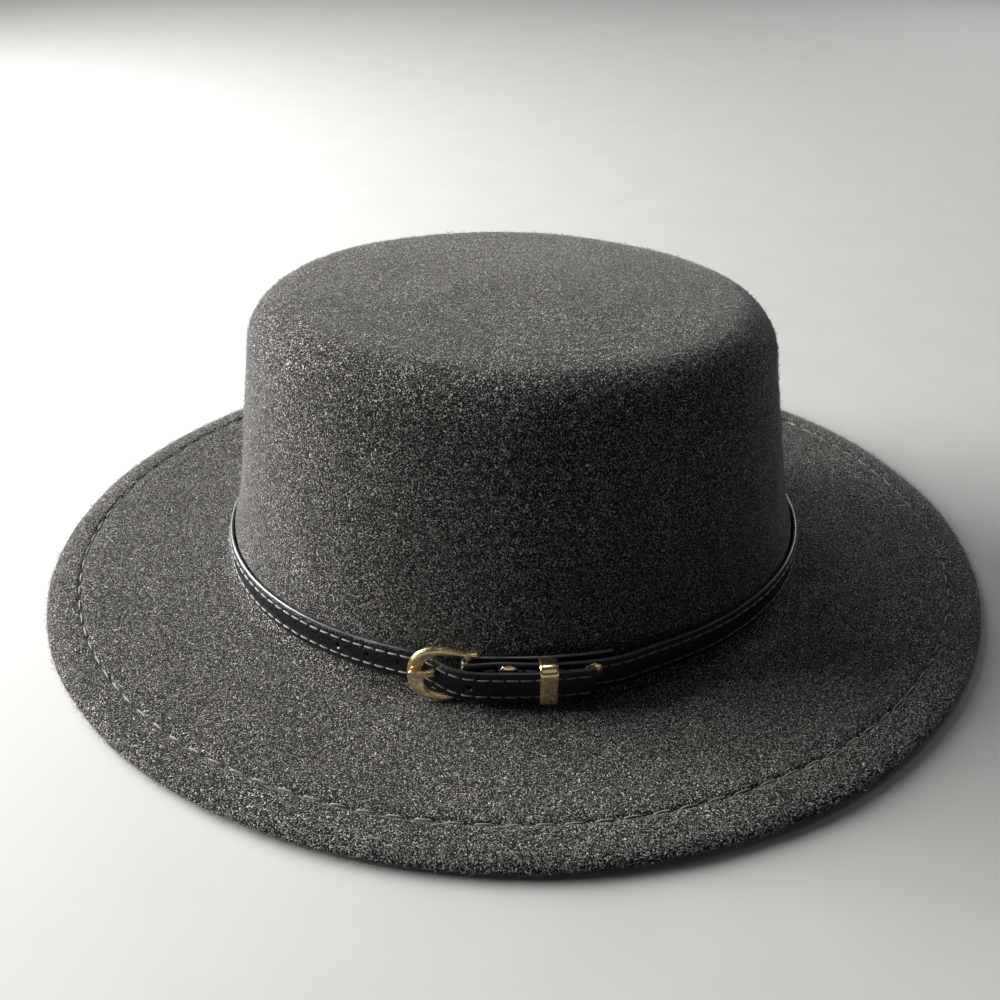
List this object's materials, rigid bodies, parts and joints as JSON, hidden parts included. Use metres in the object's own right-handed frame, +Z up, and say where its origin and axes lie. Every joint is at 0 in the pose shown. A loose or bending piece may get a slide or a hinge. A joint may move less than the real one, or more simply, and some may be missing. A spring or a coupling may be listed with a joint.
{
  "type": "wide-brim hat",
  "caption": "Black felt wide-brim hat with a flat, round-shouldered crown, a stitched brim hem and a narrow black strap hatband closed by a gold horseshoe buckle.",
  "frame": {"origin": "centre of the brim on the surface the hat rests on", "axes": "+Z up through the crown, -X to the front of the hat, -Y to the wearer's left, where the buckle is"},
  "size_m": [0.3438, 0.3118, 0.1065],
  "materials": {
    "felt": "matt fuzzy wool felt",
    "strap_leather": "semi-gloss grained, with glossy painted edges",
    "gold_metal": "polished gold plate"
  },
  "bodies": {
    "root": {"felt_body": "felt", "hatband_strap": "strap_leather", "buckle_frame": "gold_metal", "buckle_prong": "gold_metal", "keeper_loop": "gold_metal", "rivet_1": "gold_metal", "rivet_2": "gold_metal"}
  },
  "joints": []
}
